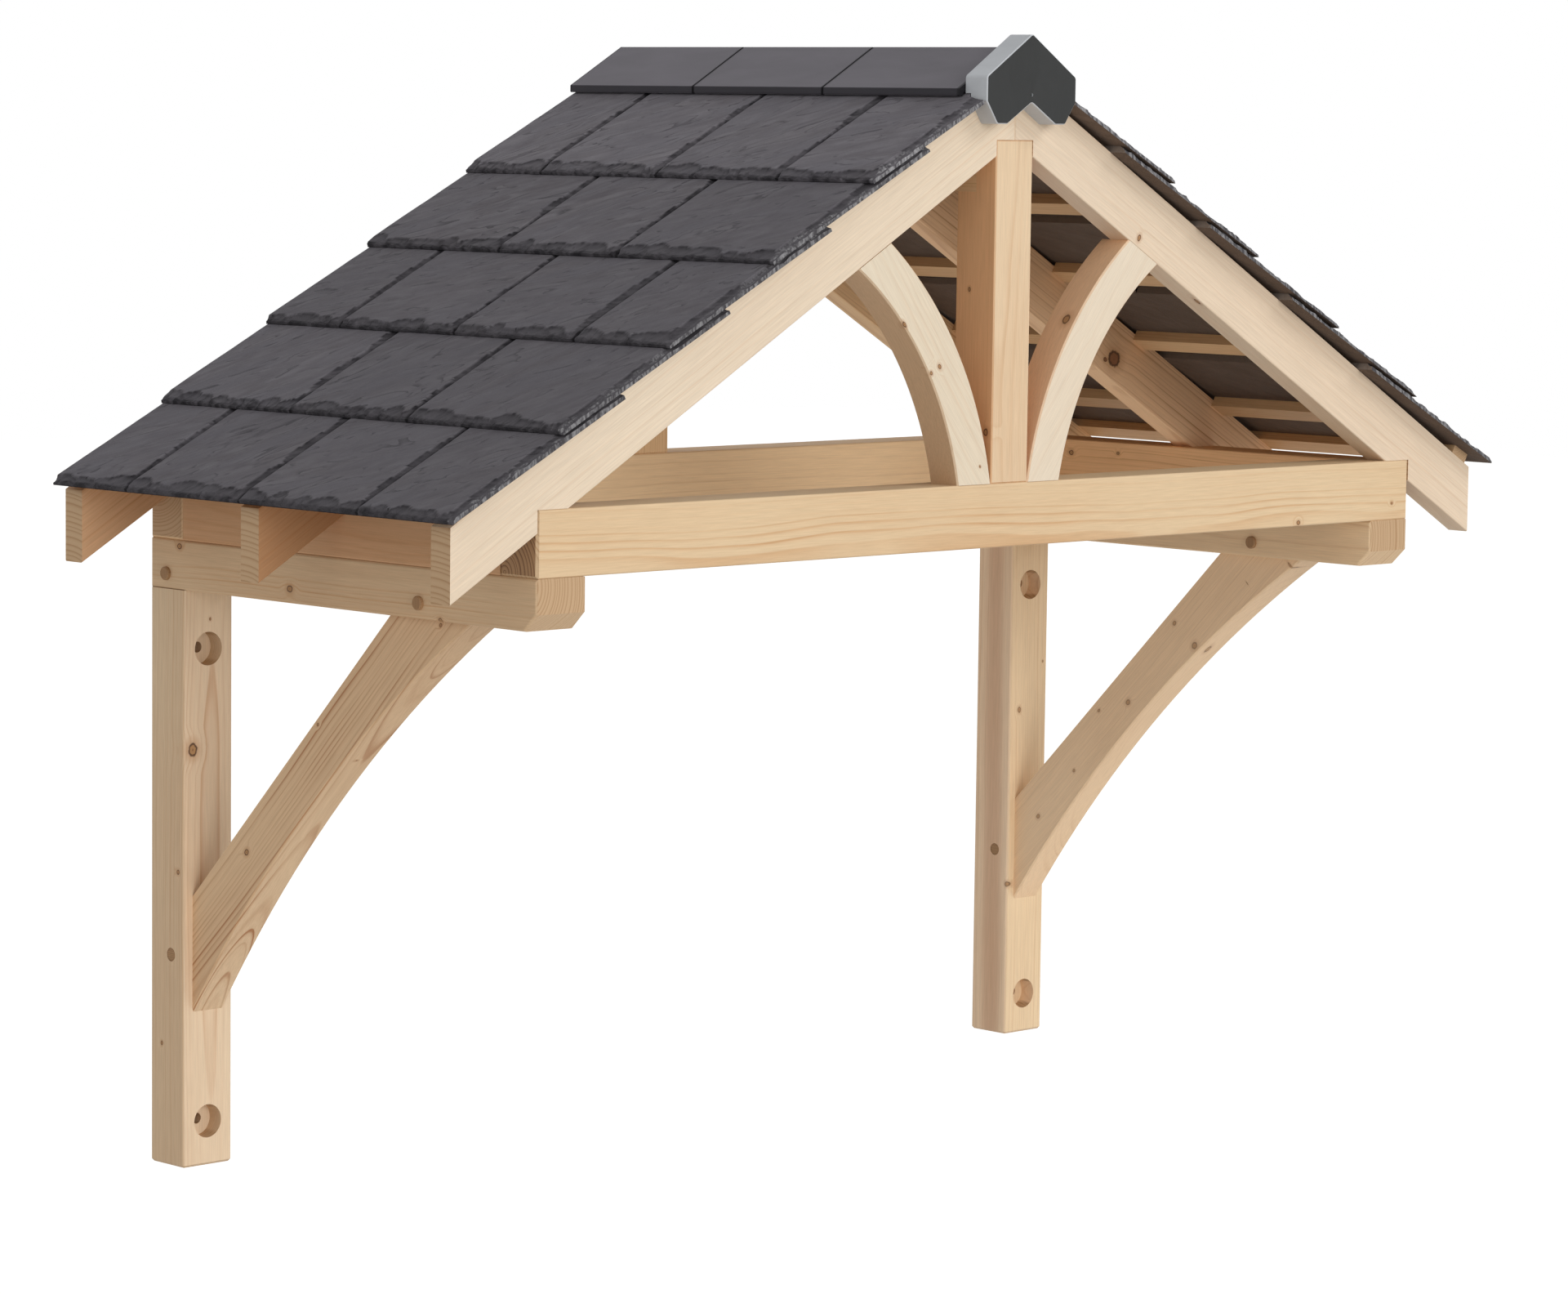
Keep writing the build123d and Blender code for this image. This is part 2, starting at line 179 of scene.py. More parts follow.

    # Faces that look along Y are fronts. The others take the side colour, if one is given:
    # painted light and shade for how the lamps fall on the sides.
    normal = add(tree, "TexCoord").outputs["Normal"]
    front = add(tree, "SeparateXYZ", {0: normal}).outputs["Y"]
    front = add(tree, "Math", {0: front}, operation="ABSOLUTE").outputs["Value"]
    front = add(tree, "MapRange", {"Value": front, "From Min": 0.6, "From Max": 0.9}
                ).outputs["Result"]
    ground = add(tree, "Mix", {0: front, 6: linear(painted_flank_lighting or pale), 7: linear(pale)},
                 data_type="RGBA").outputs[2]
    amount = add(tree, "Math", {0: rings, 1: figure}, operation="MULTIPLY").outputs["Value"]
    colour = add(tree, "Mix", {0: amount, 6: ground, 7: linear(late)},
                 data_type="RGBA").outputs[2]
    # Broad drifts, 200 by 600 mm, between a paler and a pinker tan.
    drift = add(tree, "TexNoise", {"Vector": stretched, "Scale": 1.3, "Detail": 2.0}
                ).outputs["Fac"]
    drift = add(tree, "MapRange", {"Value": drift, "From Min": 0.3, "From Max": 0.7,
                                   "To Min": 0.0, "To Max": 0.16 + warm / 2}).outputs["Result"]
    colour = add(tree, "Mix", {0: drift, 6: colour, 7: linear(late)},
                 data_type="RGBA").outputs[2]
    if core:
        red = add(tree, "MapRange", {"Value": radius, "From Min": core / 2000,
                                     "From Max": core / 1000, "To Min": 0.55,
                                     "To Max": 0.0},
                  interpolation_type="SMOOTHSTEP").outputs["Result"]
        colour = add(tree, "Mix", {0: red, 6: colour, 7: linear("#C99A78")},
                     data_type="RGBA").outputs[2]
    shade = add(tree, "MapRange", {"Value": fibre, "From Min": 0.25, "From Max": 0.75,
                                   "To Min": 0.90, "To Max": 1.06}).outputs["Result"]
    colour = add(tree, "VectorMath", {0: colour, 1: shade},
                 operation="MULTIPLY").outputs["Vector"]

    # Sawn ends drink in the light: browner, with the rings standing out.
    facing = add(tree, "VectorMath", {0: normal, 1: along},
                 operation="DOT_PRODUCT").outputs["Value"]
    facing = add(tree, "Math", {0: facing}, operation="ABSOLUTE").outputs["Value"]
    end = add(tree, "MapRange", {"Value": facing, "From Min": 0.62, "From Max": 0.86},
              interpolation_type="SMOOTHSTEP").outputs["Result"]
    end_rings = add(tree, "Mix", {0: late_part.outputs["Color"], 6: linear(ends[0]),
                                  7: linear(ends[1])}, data_type="RGBA").outputs[2]
    colour = add(tree, "Mix", {0: end, 6: colour, 7: end_rings},
                 data_type="RGBA").outputs[2]

    height = add(tree, "Math", {0: rings, 1: -0.35, 2: fibre},
                 operation="MULTIPLY_ADD").outputs["Value"]
    if near is not None:
        halo = add(tree, "MapRange", {"Value": near, "From Min": 1.1, "From Max": 2.4,
                                      "To Min": bold * 0.55, "To Max": 0.0}
                   ).outputs["Result"]
        colour = add(tree, "Mix", {0: halo, 6: colour, 7: linear("#B98559")},
                     data_type="RGBA").outputs[2]
        knot = add(tree, "ValToRGB", {"Fac": near})
        growth = knot.color_ramp
        growth.elements[0].position, growth.elements[0].color = 0.22, linear("#7A5033")
        growth.elements[1].position, growth.elements[1].color = 1.0, linear("#4E3122")
        for at, value in ((0.42, eye), (0.78, eye), (0.9, "#573820")):
            growth.elements.new(at).color = linear(value)
        inside = add(tree, "MapRange", {"Value": near, "From Min": 1.05, "From Max": 1.25,
                                        "To Min": bold, "To Max": 0.0}).outputs["Result"]
        colour = add(tree, "Mix", {0: inside, 6: colour,
                                   7: knot.outputs["Color"]}, data_type="RGBA").outputs[2]
        height = add(tree, "Math", {0: inside, 1: 0.4, 2: height},
                     operation="MULTIPLY_ADD").outputs["Value"]
    bump = add(tree, "Bump", {"Height": height, "Strength": 0.35, "Distance": 0.0004}
               ).outputs["Normal"]
    sheen = add(tree, "MapRange", {"Value": fibre, "From Min": 0.3, "From Max": 0.7,
                                   "To Min": 0.66, "To Max": 0.54}).outputs["Result"]
    skin = add(tree, "BsdfPrincipled", {"Base Color": colour, "Roughness": sheen,
                                        "Normal": bump, "IOR": 1.45,
                                        "Specular IOR Level": 0.35})
    add(tree, "OutputMaterial", {"Surface": skin.outputs["BSDF"]})
    return wood


def finish_with(node, material):
    """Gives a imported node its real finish."""
    shape = nodes[node]
    shape.data.materials.clear()
    shape.data.materials.append(material)


UP = (0, 0, 1)
# A side colour given to a piece, here and below, is painted light and shade on its sides,
# lighter or darker than its front.
finish_with("left_wall_post", planed_redwood(
    "redwood_left_post", UP, (-962, -140, 0), figure=0.5, warm=0.15, pale="#EED8B9",
    late="#BC8457", painted_flank_lighting="#DFC6A4",
    knots=((-1002, -88, -393, "y", 9.5), (-1020, -73, -593, "x", 3.5),
           (-967, -88, -182, "y", 2), (-1020, -30, -880, "x", 3))))
finish_with("right_wall_post", planed_redwood(
    "redwood_right_post", UP, (905, -46, 0), figure=0.45, core=34, pale="#EBD0AA",
    painted_flank_lighting="#F8DBBA", bold=0.75,
    knots=((946, -88, -465, "y", 4.5), (1008, -88, -377, "y", 2),
           (921, -86, -794, "x", 4))))

# ------------------------------------------------------------------- arms
# One arm lies on each post and runs out to the front, with a wide bevel under
# its nose. Planed redwood again, its grain running out from the wall.
OUT = (0, 1, 0)
finish_with("left_arm", planed_redwood(
    "redwood_left_arm", OUT, (-1052, 0, -70), figure=0.6, warm=0.2, pale="#E4C8A5",
    painted_flank_lighting="#DDC09B",
    knots=((-1020, -76, -62, "x", 5), (-1020, -360, -110, "x", 6),
           (-1020, -726, -131, "x", 4))))
finish_with("right_arm", planed_redwood(
    "redwood_right_arm", OUT, (840, 0, -85), figure=0.6, warm=0.1, pale="#F4D6AE",
    knots=((921, -300, -100, "x", 4),)))

# ----------------------------------------------------------------- braces
# Each brace is sawn to its curve from a wide plank and housed between post
# and arm. The grain runs straight from end to end, so the bow cuts across it
# and opens it into flames near both ends.
UP_AND_OUT = (0, -1, 1)
finish_with("left_brace", planed_redwood(
    "redwood_left_brace", UP_AND_OUT, (-962, -400, -520), ring=8.0, figure=1.35,
    pale="#E6CBA8", late="#AE7A52", painted_flank_lighting="#E0BE97",
    knots=((-1002, -706, -141, "x", 3), (-1002, -229, -545, "x", 5),
           (-1002, -409, -322, "x", 2.5), (-975, -478, -380, "y", 3, 0.6),
           (-975, -350, -529, "y", 3))))
# The right-hand brace has many small soft knots and a dark shake at its top.
finish_with("right_brace", planed_redwood(
    "redwood_right_brace", UP_AND_OUT, (1015, -300, -300), ring=4.2, figure=0.3,
    pale="#F6D6B0", bold=0.62,
    knots=((939, -479, -270, "x", 4), (939, -529, -307, "x", 6),
           (939, -369, -425, "x", 5), (939, -297, -447, "x", 3),
           (939, -237, -565, "x", 3), (939, -148, -660, "x", 4),
           (939, -752, -146, "x", 9, 0.25), (939, -651, -184, "x", 4, 0.25),
           (962, -545, -318, "y", 6, 1.8))))

# ------------------------------------------------------------------- pegs
# Turned pegs of a tighter, browner wood, driven through the joints, those in
# the arms left a little proud. Their faces are end grain with close rings.
ACROSS = (1, 0, 0)
for side, x in (("left", -970.5), ("right", 970.5)):
    finish_with(f"{side}_bracket_pegs", planed_redwood(
        f"redwood_{side}_pegs", ACROSS, (x, -60, -104), ring=2.2, figure=0.6,
        pale="#AE8963", late="#835F40", ends=("#A9845E", "#7B583A")))

# -------------------------------------------------------- ties and plates
# The front and rear ties lie across the arms and the eaves plates join them,
# all of one section. The front tie shows long tan flames in its lower half.
finish_with("front_tie_beam", planed_redwood(
    "redwood_front_tie", ACROSS, (0, -872, -46), ring=7.0, figure=1.2,
    pale="#E2C7A1", late="#C58E59", plain=(84, 106), ends=("#B08A64", "#76553A"),
    knots=((977, -949, -23, "y", 2.5), (726, -949, -46, "y", 4))))
# The rear tie is paler than the front tie: painted light that lifts the shade it stands in
# under the roof.
finish_with("rear_tie_beam", planed_redwood(
    "redwood_rear_tie", ACROSS, (0, -10, 60), figure=0.3, warm=0.1, pale="#FFDDB0"))
# The plates are warmer than the front pieces, the left darker and the right paler: in part
# warmer inner wood and in part painted light and shade for where they lie under the roof.
finish_with("left_eaves_plate", planed_redwood(
    "redwood_left_plate", OUT, (-900, 0, 20), figure=0.7, warm=0.4, pale="#DEB48C"))
finish_with("right_eaves_plate", planed_redwood(
    "redwood_right_plate", OUT, (1000, 0, -60), figure=0.7, warm=0.3, pale="#FAC894",
    knots=((933, -219, 27, "x", 5), (933, -336, 32, "x", 3))))

# ------------------------------------------------- king posts, ridge beam
# Lapped king posts of planed redwood stand on the ties and carry the ridge
# beam, which the rafters are notched over.
finish_with("front_king_post", planed_redwood(
    "redwood_front_king", UP, (-30, -820, 0), ring=7.0, figure=0.3, warm=0.2,
    pale="#E9D0AE", painted_flank_lighting="#ECB989",
    knots=((-42, -893, 365, "x", 3), (-42, -935, 135, "x", 5))))
# Their warm pale is in part warmer inner wood and in part painted shade for the roof above
# them.
for name, grain, heart in (("rear_king_post", UP, (-60, -60, 0)),
                           ("ridge_beam", OUT, (10, 0, 640))):
    finish_with(name, planed_redwood(f"redwood_{name}", grain, heart, figure=0.6,
                                     warm=0.3, pale="#F4CC9C"))

# ---------------------------------------------------------------- rafters
# Three pairs, birdsmouthed over the ties and plates and cut plumb at the
# eaves, so their feet show end grain. The grain follows the roof's slope.
PITCH = math.radians(30)
DOWN_LEFT = (-math.cos(PITCH), 0, -math.sin(PITCH))
DOWN_RIGHT = (math.cos(PITCH), 0, -math.sin(PITCH))
rafter_knots = {
    ("front", "right"): ((303, -949, 447, "y", 6, 0.7), (460, -941, 339, "z", 3.5, 2.6)),
    ("middle", "right"): ((743, -496, 217, "y", 15, 1.1), (720, -496, 216, "y", 4))}
# The middle and rear pairs are warmer than the front pair, the left darker and the right paler:
# in part warmer inner wood and in part painted light and shade for where they lie under the
# roof.
for place, y, pales, late, eye, figure in (
        ("front", -927, ("#EBDAC2", "#E8D4BB"), "#CFA47C", "#AB7F52", 0.32),
        ("middle", -474, ("#C4966E", "#FFD8AE"), "#B57C4C", "#8A5A3C", 0.8),
        ("rear", -22, ("#DEB48C", "#FAD5A6"), "#B57C4C", "#AB7F52", 0.8)):
    for side, grain, x, pale in (("left", DOWN_LEFT, 100, pales[0]),
                                 ("right", DOWN_RIGHT, -100, pales[1])):
        finish_with(f"{place}_{side}_rafter", planed_redwood(
            f"redwood_{place}_{side}_rafter", grain, (x, y + x / 8, 547), ring=8.0,
            figure=figure, pale=pale, late=late, eye=eye,
            knots=rafter_knots.get((place, side), ())))

# ----------------------------------------------------------- arch braces
# A pair of quarter arches sawn from wide planks, springing from the foot of
# the front king post to the undersides of the rafters.
finish_with("left_arch_brace", planed_redwood(
    "redwood_left_arch", (-0.6, 0, 0.8), (-150, -880, 200), ring=6.0, figure=0.35,
    pale="#E7DAC3", late="#CDA884", painted_flank_lighting="#DAB892",
    knots=((-247, -949, 314, "y", 2.5, 2.5), (-166, -949, 245, "y", 3.5),
           (-185, -949, 235, "y", 3), (-69, -949, 81, "y", 2),
           (-214, -942, 231, "x", 5, 0.3))))
finish_with("right_arch_brace", planed_redwood(
    "redwood_right_arch", (0.6, 0, 0.8), (160, -870, 220), ring=6.0, figure=0.3,
    pale="#EADCC6", late="#CDA884", painted_flank_lighting="#F2CAA2", bold=0.8,
    knots=((157, -927, 311, "x", 8),)))

# ---------------------------------------------- battens, tilting fillets
# Sawn battens let in between the rafters carry the slates, and a fillet along
# the feet tilts the first course. Both run along the roof.
# Both take a warmer, darker tan than the planed pieces: painted shade under the roof.
for side, x in (("left", -1), ("right", 1)):
    for piece, heart in (("battens", (x * 600, 0, 300)), ("tilting_fillet", (x * 1150, 0, 90))):
        finish_with(f"{side}_{piece}", planed_redwood(
            f"sawn_{side}_{piece}", OUT, heart, ring=3.0, figure=0.7, warm=0.3,
            pale="#E3BE92", late="#B98D5F"))

# ----------------------------------------------------------------- slates
# Composite slates, 12 mm thick, moulded from stone dust and resin off riven
# slates, so that they keep the soft ripples of the split and the scars that
# dressing knocks off a real slate's edges. Five lapped courses a side.
SLATE_LONG = 0.382
SLATE_WIDE = 0.285
SLATE_THICK = 0.012
FIRST_WIDE = 0.195    # at the wall, in odd courses
COURSES = 5
GAUGE = 0.2485        # from one course to the next, up the slope
LAP_TILT = math.asin(SLATE_THICK / GAUGE)    # each slate lies on the one below
SLATE_OUT = 0.017     # past the rafters' feet, down the slope
GAP = 0.0001          # slates meet over a hidden side lip, so no light shows
CAP_CLEAR = 0.002
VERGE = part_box("right_slates_1")[0].y


def moulded_slate():
    """Matt composite in dark grey with a plum cast: short soft ripples askew
    to the slope, thin broken lines where a layer of the master parted, scars
    along the edges darkened in part as broken stone and in part as painted
    shade, near black at their lips, and paler broken front edges."""
    slate = bpy.data.materials.new("moulded_riven_slate")
    slate.use_nodes = True
    tree = slate.node_tree
    tree.nodes.clear()
    texture = add(tree, "TexCoord")
    place = texture.outputs["Object"]
    tone = add(tree, "Attribute", attribute_name="tone").outputs["Fac"]
    chip_tone_and_shade = add(tree, "Attribute", attribute_name="chip_tone_and_shade").outputs["Fac"]
    # Each slate has its own pattern, picked by its tone.
    own = add(tree, "Math", {0: tone, 1: 60.0}, operation="MULTIPLY").outputs["Value"]
    # Ripples of the split, about 60 by 18 mm, askew to the slope, and lying a
    # little differently on each slate.
    askew = add(tree, "TexWhiteNoise", {"W": own}, noise_dimensions="1D").outputs["Value"]
    askew = add(tree, "MapRange", {"Value": askew, "To Min": -1.20, "To Max": -0.55}
                ).outputs["Result"]
    askew = add(tree, "CombineXYZ", {"Z": askew}).outputs["Vector"]
    turned = add(tree, "Mapping", {"Vector": place, "Rotation": askew,
                                   "Scale": (0.062, 0.018, 0.40)},
                 vector_type="TEXTURE").outputs["Vector"]
    ripple = add(tree, "TexNoise", {"Vector": turned, "W": own, "Scale": 1.0,
                                    "Detail": 2.5, "Roughness": 0.5,
                                    "Distortion": 0.7},
                 noise_dimensions="4D").outputs["Fac"]
    # Broad swells of the split, 200 by 60 mm, whose contours are the parted
    # layers: wavy lines about 3 mm wide, crisp on one side.
    swell = add(tree, "TexNoise", {"Vector": turned, "W": own, "Scale": 0.30,
                                   "Detail": 3.0, "Roughness": 0.5,
                                   "Distortion": 0.8},
                noise_dimensions="4D").outputs["Fac"]
    layer = add(tree, "Math", {0: swell, 1: 8.0}, operation="MULTIPLY").outputs["Value"]
    layer = add(tree, "Math", {0: layer}, operation="FRACT").outputs["Value"]
    parted = add(tree, "MapRange", {"Value": layer, "From Min": 0.0, "From Max": 0.26,
                                    "To Min": 1.0, "To Max": 0.0}).outputs["Result"]
    patch = add(tree, "MapRange", {"Value": ripple, "From Min": 0.47, "From Max": 0.57}
                ).outputs["Result"]
    parted = add(tree, "Math", {0: parted, 1: patch}, operation="MULTIPLY").outputs["Value"]
    # Grains of the stone are far under a millimetre. They are drawn 3 mm
    # across, so that the face isn't smooth at the size of a whole roof.
    grit = add(tree, "TexNoise", {"Vector": place, "Scale": 330.0, "Detail": 4.0,
                                  "Roughness": 0.7}).outputs["Fac"]
    mixed = add(tree, "MapRange", {"Value": ripple, "From Min": 0.30, "From Max": 0.70}
                ).outputs["Result"]
    colour = add(tree, "Mix", {0: mixed, 6: linear("#5B575B"),
                               7: linear("#747175")}, data_type="RGBA").outputs[2]
    cool = add(tree, "MapRange", {"Value": swell, "From Min": 0.35, "From Max": 0.65,
                                  "To Max": 0.6}).outputs["Result"]
    colour = add(tree, "Mix", {0: cool, 6: colour, 7: linear("#66646A")},
                 data_type="RGBA").outputs[2]
    line = add(tree, "Math", {0: parted, 1: 0.75}, operation="MULTIPLY").outputs["Value"]
    colour = add(tree, "Mix", {0: line, 6: colour, 7: linear("#343135")},
                 data_type="RGBA").outputs[2]
    # Scars are ribbed across, about 8 mm apart. They are darker in part as broken
    # stone and in part as painted shade, near black at their lips and in the joints.
    ribs = add(tree, "TexNoise", {"Vector": turned, "W": own, "Scale": 2.2,
                                  "Detail": 1.5}, noise_dimensions="4D").outputs["Fac"]
    ribs = add(tree, "MapRange", {"Value": ribs, "From Min": 0.38, "From Max": 0.64}
               ).outputs["Result"]
    scar_tone_and_shade = add(tree, "Mix", {0: ribs, 6: linear("#121014"), 7: linear("#4A474B")},
                 data_type="RGBA").outputs[2]
    colour = add(tree, "Mix", {0: chip_tone_and_shade, 6: colour, 7: scar_tone_and_shade},
                 data_type="RGBA").outputs[2]
    # The deepest of it goes near black: painted shadow on the lips, in the joints and under the
    # tails.
    brink = add(tree, "MapRange", {"Value": chip_tone_and_shade, "From Min": 0.90, "From Max": 0.98}
                ).outputs["Result"]
    colour = add(tree, "Mix", {0: brink, 6: colour, 7: linear("#121013")},
                 data_type="RGBA").outputs[2]
    # The undersides are the plain back of the moulding, browner. A head looks to the
    # ridge, and its end is painted paler: painted light that lifts the shade it lies in.
    normal = add(tree, "SeparateXYZ", {0: texture.outputs["Normal"]})
    under = add(tree, "MapRange", {"Value": normal.outputs["Z"], "From Min": -0.7,
                                   "From Max": -0.85}).outputs["Result"]
    side = add(tree, "SeparateXYZ", {0: place}).outputs["X"]
    side = add(tree, "Math", {0: side}, operation="SIGN").outputs["Value"]
    outward = add(tree, "Math", {0: normal.outputs["X"], 1: side}, operation="MULTIPLY"
                  ).outputs["Value"]
    head_painted_light = add(tree, "MapRange", {"Value": outward, "From Min": -0.70,
                                   "From Max": -0.85}).outputs["Result"]
    back = add(tree, "Mix", {0: mixed, 6: linear("#5E5046"), 7: linear("#6A5B51")},
               data_type="RGBA").outputs[2]
    colour = add(tree, "Mix", {0: under, 6: colour, 7: back},
                 data_type="RGBA").outputs[2]
    colour = add(tree, "Mix", {0: head_painted_light, 6: colour, 7: linear("#877B72")},
                 data_type="RGBA").outputs[2]
    # The broken edges of the verge, its outer 8 to 14 mm, are paler, with
    # upright strokes of the break, drawn 4 mm apart, coarser than real ones.
    strokes = add(tree, "Mapping", {"Vector": place, "Scale": (240.0, 240.0, 55.0)}
                  ).outputs["Vector"]
    strokes = add(tree, "TexNoise", {"Vector": strokes, "Scale": 1.0, "Detail": 2.0}
                  ).outputs["Fac"]
    strokes = add(tree, "MapRange", {"Value": strokes, "From Min": 0.40,
                                     "From Max": 0.66}).outputs["Result"]
    bared = add(tree, "Mix", {0: strokes, 6: linear("#4B494C"),
                              7: linear("#8B8A8C")}, data_type="RGBA").outputs[2]
    front = add(tree, "MapRange", {"Value": normal.outputs["Y"], "From Min": -0.25,
                                   "From Max": -0.65}).outputs["Result"]
    verge = add(tree, "SeparateXYZ", {0: place}).outputs["Y"]
    verge = add(tree, "MapRange", {"Value": verge, "From Min": VERGE + 0.014,
                                   "From Max": VERGE + 0.008}).outputs["Result"]
    front = add(tree, "Math", {0: front, 1: verge}, operation="MULTIPLY").outputs["Value"]
    colour = add(tree, "Mix", {0: front, 6: colour, 7: bared},
                 data_type="RGBA").outputs[2]
    level = add(tree, "MapRange", {"Value": grit, "From Min": 0.3, "From Max": 0.7,
                                   "To Min": 0.93, "To Max": 1.06}).outputs["Result"]
    level = add(tree, "Math", {0: level, 1: tone}, operation="MULTIPLY").outputs["Value"]
    colour = add(tree, "VectorMath", {0: colour, 1: level}, operation="MULTIPLY"
                 ).outputs["Vector"]
    height = add(tree, "Math", {0: grit, 1: 0.2, 2: ripple},
                 operation="MULTIPLY_ADD").outputs["Value"]
    height = add(tree, "Math", {0: parted, 1: -0.35, 2: height},
                 operation="MULTIPLY_ADD").outputs["Value"]
    bump = add(tree, "Bump", {"Height": height, "Strength": 0.8, "Distance": 0.0034}
               ).outputs["Normal"]
    skin = add(tree, "BsdfPrincipled", {"Base Color": colour, "Roughness": 0.78,
                                        "Normal": bump, "IOR": 1.45,
                                        "Specular IOR Level": 0.16})
    add(tree, "OutputMaterial", {"Surface": skin.outputs["BSDF"]})
    return slate


slate_finish = moulded_slate()

# Flakes 14 mm across for the scars, ripples 50 mm across for the faces, and
# the empty that lays both differently on each slate.
flecks = bpy.data.textures.new("small_flakes", "VORONOI")
flecks.noise_scale, flecks.weight_1 = 0.014, 1.0
split = bpy.data.textures.new("split_ripples", "CLOUDS")
split.noise_scale, split.noise_depth = 0.05, 3
bpy.ops.object.empty_add(location=(0, 0, 0))
lie = bpy.context.object
lie.scale = (2.6, 0.8, 1.0)

EDGE_STEP = 0.0036    # of the mesh, a quarter of a flake
RIM_STEPS = 3
# How far in from the tail and from the front edge scars reach, how much of
# each edge is dressed off at its brink, and the deepest that anything bites.
TAIL_REACH, FRONT_REACH = 0.034, 0.024
TAIL_BRINK, FRONT_BRINK, BACK_BRINK = 0.0056, 0.0040, 0.0015
DEEPEST = 0.0095
# How wide the lips painted dark as shade are along the tail, the front edge and a joint.
TAIL_LIP, FRONT_LIP, JOINT_LIP = 0.006, 0.009, 0.005
RAGGED = 0.020        # how far in from the front edge its brink wanders


def scars(chance, long, apart, half, reach, deep):
    """Flake scars along an edge: where each is, half its width, how far in
    from the edge it reaches, and how deep it bites."""
    found, at = [], 0.0
    while at < long:
        found.append((at, chance.uniform(*half), chance.uniform(*reach),
                      chance.uniform(*deep)))
        at += apart * chance.uniform(0.5, 1.5)
    return found


def bite(found, along, away, dark):
    """How deep the scars bite at a place by the edge, and how dark it is
    painted, from 0 for the face to 1 for black: in part the broken stone, in
    part painted shade. Each is scooped: it starts at a crisp lip painted dark
    as shade, and two meet in a ridge."""
    deepest = (0.0, 0.0)
    for at, half, reach, deep in found:
        room = 1 - ((along - at) / half) ** 2 - (away / reach) ** 2
        if room > 0:
            deepest = max(deepest, (deep * room ** 0.55,
                                    dark + (0.95 - dark) * (1 - room) ** 3))
    return deepest


def slate_sheet(name, wide, corner):
    """A plain slate lying flat, with its head at X 0, its tail along X and its
    front edge at Y 0: a fine sheet, given its thickness by pulling its rim
    down in steps. A corner is how much is cut away, in X and in Y, where head
    and front edge meet."""
    bpy.ops.mesh.primitive_grid_add(
        x_subdivisions=round(SLATE_LONG / EDGE_STEP),
        y_subdivisions=round(wide / EDGE_STEP), size=1,
        location=(SLATE_LONG / 2, wide / 2, SLATE_THICK))
    slate = bpy.context.object
    slate.name = slate.data.name = name
    slate.scale = (SLATE_LONG, wide, 1)
    bpy.ops.object.transform_apply(location=True, rotation=True, scale=True)
    bpy.ops.object.mode_set(mode="EDIT")
    if corner:
        for plane, where in (((1, 0, 0), (corner[0], 0, 0)), ((0, 1, 0), (0, corner[1], 0))):
            bpy.ops.mesh.select_all(action="SELECT")
            bpy.ops.mesh.bisect(plane_co=where, plane_no=plane)
        bpy.ops.mesh.select_mode(type="FACE")
        bpy.ops.mesh.select_all(action="DESELECT")
        bpy.ops.object.mode_set(mode="OBJECT")
        for tile in slate.data.polygons:
            tile.select = tile.center.x < corner[0] and tile.center.y < corner[1]
        bpy.ops.object.mode_set(mode="EDIT")
        bpy.ops.mesh.delete(type="FACE")
    bpy.ops.mesh.select_mode(type="EDGE")
    bpy.ops.mesh.select_all(action="SELECT")
    bpy.ops.mesh.region_to_loop()
    for _ in range(RIM_STEPS):
        bpy.ops.mesh.extrude_region_move(
            TRANSFORM_OT_translate={"value": (0, 0, -SLATE_THICK / RIM_STEPS)})
    bpy.ops.mesh.edge_face_add()
    bpy.ops.mesh.select_all(action="SELECT")
    bpy.ops.mesh.normals_make_consistent(inside=False)
    bpy.ops.object.mode_set(mode="OBJECT")
    return slate


